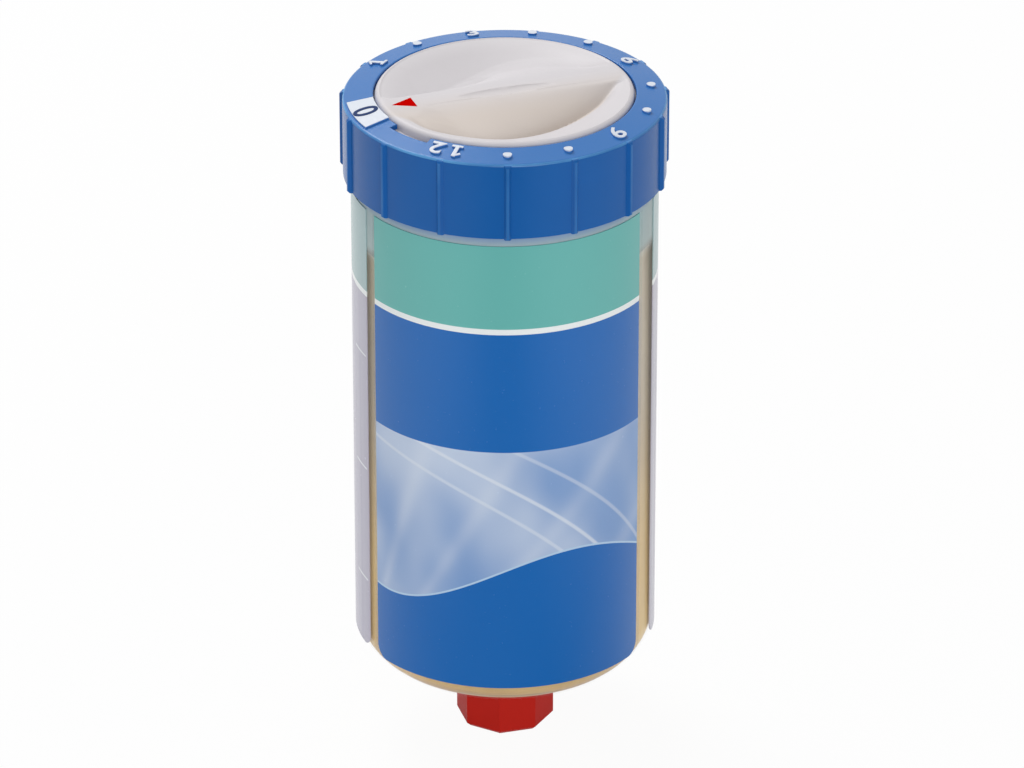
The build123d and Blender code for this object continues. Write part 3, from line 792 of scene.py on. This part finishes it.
bpy.ops.mesh.select_all(action="SELECT")
bpy.ops.mesh.remove_doubles(threshold=0.001 * MM)
bpy.ops.mesh.fill_holes(sides=0)
bpy.ops.mesh.normals_make_consistent(inside=False)
bpy.ops.object.mode_set(mode="OBJECT")
bpy.ops.object.shade_smooth_by_angle(angle=radians(35))
settle(thread_ridge, "housing", clear_wall)


# ---- numerals on the ring, their tops outward ----
def stroke(name, middle, length, width, depth, lean=0.0):
    """A short bar with eased edges, for the foot or the flag of a one."""
    piece = start(bpy.ops.mesh.primitive_cube_add, name, size=MM)
    piece.scale = (length, width, depth)
    set_place()
    edge = piece.modifiers.new("edge", "BEVEL")
    edge.width = 0.04 * MM
    edge.segments = 2
    bpy.ops.object.modifier_apply(modifier="edge")
    piece.rotation_euler.z = radians(lean)
    piece.location = middle
    set_place()
    return piece


def joined(name, pieces):
    """Several pieces as one mesh."""
    bpy.ops.object.select_all(action="DESELECT")
    for piece in pieces:
        piece.select_set(True)
    bpy.context.view_layer.objects.active = pieces[0]
    if len(pieces) > 1:
        bpy.ops.object.join()
    pieces[0].name = name
    return pieces[0]


def extent(piece):
    """The lowest and highest corner of a piece."""
    places = [vertex.co for vertex in piece.data.vertices]
    return (
        Vector([min(place[i] for place in places) for i in range(3)]),
        Vector([max(place[i] for place in places) for i in range(3)]),
    )


def with_foot_and_flag(name, stem, depth):
    """A plain one with a foot under its stem and a flag at its top."""
    low, high = extent(stem)
    stem_x = high.x - 0.28 * MM
    middle_z = (low.z + high.z) / 2
    foot_at = Vector((stem_x, low.y + 0.22 * MM, middle_z))
    flag_at = Vector((stem_x - 0.5 * MM, high.y - 0.52 * MM, middle_z))
    foot = stroke("foot", foot_at, 1.9, 0.46, depth + 0.04)
    flag = stroke("flag", flag_at, 1.3, 0.42, depth + 0.03, lean=36)
    return joined(name, [stem, foot, flag])


def figure(name, text, size, width, depth):
    """One raised figure, flat on the origin, as a mesh centred on its outline."""
    piece = start(bpy.ops.object.text_add, name)
    letters = piece.data
    letters.body = text
    letters.size = size * MM
    letters.extrude = depth / 2 * MM
    letters.offset = 0.03 * MM
    letters.bevel_depth = 0.03 * MM
    letters.bevel_resolution = 1
    letters.resolution_u = 6
    bpy.ops.object.convert(target="MESH")
    piece.scale.x = width
    set_place()
    if text == "1":
        piece = with_foot_and_flag(name, piece, depth)
    low, high = extent(piece)
    piece.location = -(low + high) / 2
    set_place()
    bpy.ops.object.mode_set(mode="EDIT")
    bpy.ops.mesh.select_all(action="SELECT")
    bpy.ops.mesh.remove_doubles(threshold=0.002 * MM)
    bpy.ops.mesh.normals_make_consistent(inside=False)
    bpy.ops.object.mode_set(mode="OBJECT")
    return piece


def numeral(figures, position, size, width, radius, rise, depth, finish):
    """Figures on the ring's sloping face, side by side at one of the dial's positions."""
    name = f"numeral_{figures}"
    placed = []
    for index, text in enumerate(figures):
        piece = figure(name, text, size, width, depth)
        spread = (index - (len(figures) - 1) / 2) * FIGURE_SPREAD
        angle = radians(ZERO_ANGLE - DIAL_STEP * position - spread)
        face_z = RING_INNER_Z - RING_SLOPE * (radius - RING_BORE) + rise - depth / 2
        spot = Matrix.Translation(
            Vector((radius * cos(angle), radius * sin(angle), face_z)) * MM
        )
        turn = Matrix.Rotation(angle - pi / 2, 4, "Z")
        lean = Matrix.Rotation(-atan2(RING_SLOPE, 1), 4, "X")
        piece.matrix_world = spot @ turn @ lean
        set_place()
        placed.append(piece)
    return settle(joined(name, placed), "housing", finish)


for figures, position in (("1", 2), ("3", 4), ("6", 7), ("9", 10), ("12", 13)):
    numeral(
        figures, position, size=4.3, width=1.2, radius=24.3,
        rise=MARK_RISE, depth=0.8, finish=ring_blue,
    )
numeral(
    "0", 0, size=6.0, width=1.0, radius=24.15,
    rise=MARK_RISE + 0.04, depth=0.3, finish=numeral_blue,
)


# ---- stage, light and camera ----
def show(tree, output_kind, lit, seen, share):
    """Light meets the lit shader; the camera, gloss and clear parts see a share of the other."""
    camera_ray, gloss_ray, through_ray = [
        tree.node("ShaderNodeLightPath", {}, {}, result=ray)
        for ray in ("Is Camera Ray", "Is Glossy Ray", "Is Transmission Ray")
    ]
    most = tree.maths("MAXIMUM", tree.maths("MAXIMUM", camera_ray, gloss_ray), through_ray)
    mixed = tree.node("ShaderNodeMixShader", {}, {0: most * share, 1: lit, 2: seen})
    tree.node(output_kind, {}, {"Surface": mixed}, result=None)


floor = start(bpy.ops.mesh.primitive_circle_add, "floor", vertices=64, radius=4.0, fill_type="NGON")
pale_floor = bpy.data.materials.new("pale_floor")
floor_tree = Tree(pale_floor)
_, (floor_x, floor_y, _) = floor_tree.place()
# a dark card lies in front of the product, which gives its polished front more depth
card_left = floor_tree.clamped(floor_x * 9.0 + 1.25)
card_right = floor_tree.clamped(floor_x * -9.0 + 1.25)
card_back = floor_tree.clamped(floor_y * -20.0)
seen_in_gloss = floor_tree.node("ShaderNodeLightPath", {}, {}, result="Is Glossy Ray")
card = card_left * card_right * card_back * seen_in_gloss
show(
    floor_tree, "ShaderNodeOutputMaterial",
    lit=floor_tree.node("ShaderNodeBsdfDiffuse", {}, {"Color": (0.9, 0.9, 0.9, 1)}),
    seen=floor_tree.node(
        "ShaderNodeEmission", {},
        {"Color": floor_tree.mix(card * 0.8, (1, 1, 1, 1), (0, 0, 0, 1)), "Strength": 1.0},
    ),
    share=0.95,
)
floor.data.materials.append(pale_floor)

studio = bpy.data.worlds.new("studio")
bpy.context.scene.world = studio
sky_tree = Tree(studio)
show(
    sky_tree, "ShaderNodeOutputWorld",
    lit=sky_tree.node("ShaderNodeBackground", {}, {"Strength": 0.45}),
    seen=sky_tree.node("ShaderNodeBackground", {}, {"Strength": 1.0}),
    share=1.0,
)


def aimed(piece, place, aim):
    """Puts a lamp or the camera in its place, turned to what it is aimed at."""
    bpy.context.scene.collection.objects.link(piece)
    piece.location = place
    piece.rotation_mode = "QUATERNION"
    piece.rotation_quaternion = (Vector(aim) - Vector(place)).to_track_quat("-Z", "Y")


def softbox(name, place, size, power):
    """A square lamp aimed at the product."""
    light = bpy.data.lights.new(name, "AREA")
    light.shape = "SQUARE"
    light.size = size
    light.energy = power
    aimed(bpy.data.objects.new(name, light), place, LAMP_AIM)


softbox("key_light", (-0.35, 0.55, 0.9), 0.5, 7.0)
softbox("front_light", (0.2, -1.1, 0.35), 0.7, 4.2)

camera_data = bpy.data.cameras.new("camera")
camera_data.lens = CAMERA_LENS
camera_data.sensor_width = 36
camera_data.clip_start = 0.01
camera = bpy.data.objects.new("camera", camera_data)
aimed(camera, CAMERA_AT, CAMERA_AIM)
bpy.context.scene.camera = camera
bpy.context.scene.view_settings.view_transform = "Standard"
